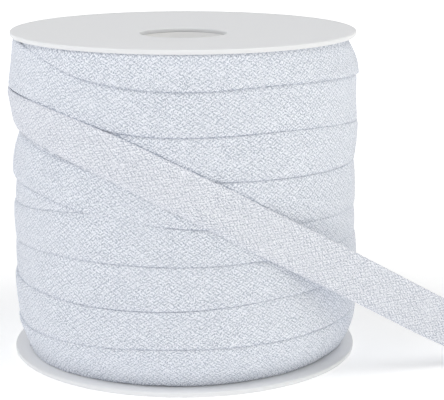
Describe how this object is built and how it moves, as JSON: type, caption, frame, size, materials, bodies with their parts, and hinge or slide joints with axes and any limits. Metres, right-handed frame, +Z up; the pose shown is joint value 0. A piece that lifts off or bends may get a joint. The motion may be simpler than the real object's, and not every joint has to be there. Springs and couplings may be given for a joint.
{
  "type": "spool of flat cotton cord",
  "caption": "Spool of flat white cotton cord, wound full between two thin plastic flanges, with its loose end led off to one side.",
  "frame": {"origin": "centre of the bottom flange's underside, on the spool's axis, at the level of the surface it stands on", "axes": "+Z up along the spool's axis; -Y is the side from which the loose end crosses in front of the winding; +X is the side to which the loose end is led off"},
  "size_m": [0.1721, 0.0991, 0.0919],
  "materials": {
    "white_plastic": "moulded white plastic, satin",
    "white_hub_plastic": "moulded white plastic, plain",
    "white_cotton": "bleached cotton, braided flat with a fine zigzag face",
    "white_cotton_loose": "bleached cotton, braided flat with a fine zigzag face"
  },
  "bodies": {
    "root": {"flange_top": "white_plastic", "flange_bottom": "white_plastic", "hub_tube": "white_hub_plastic", "winding": "white_cotton", "loose_end": "white_cotton_loose"}
  },
  "joints": []
}
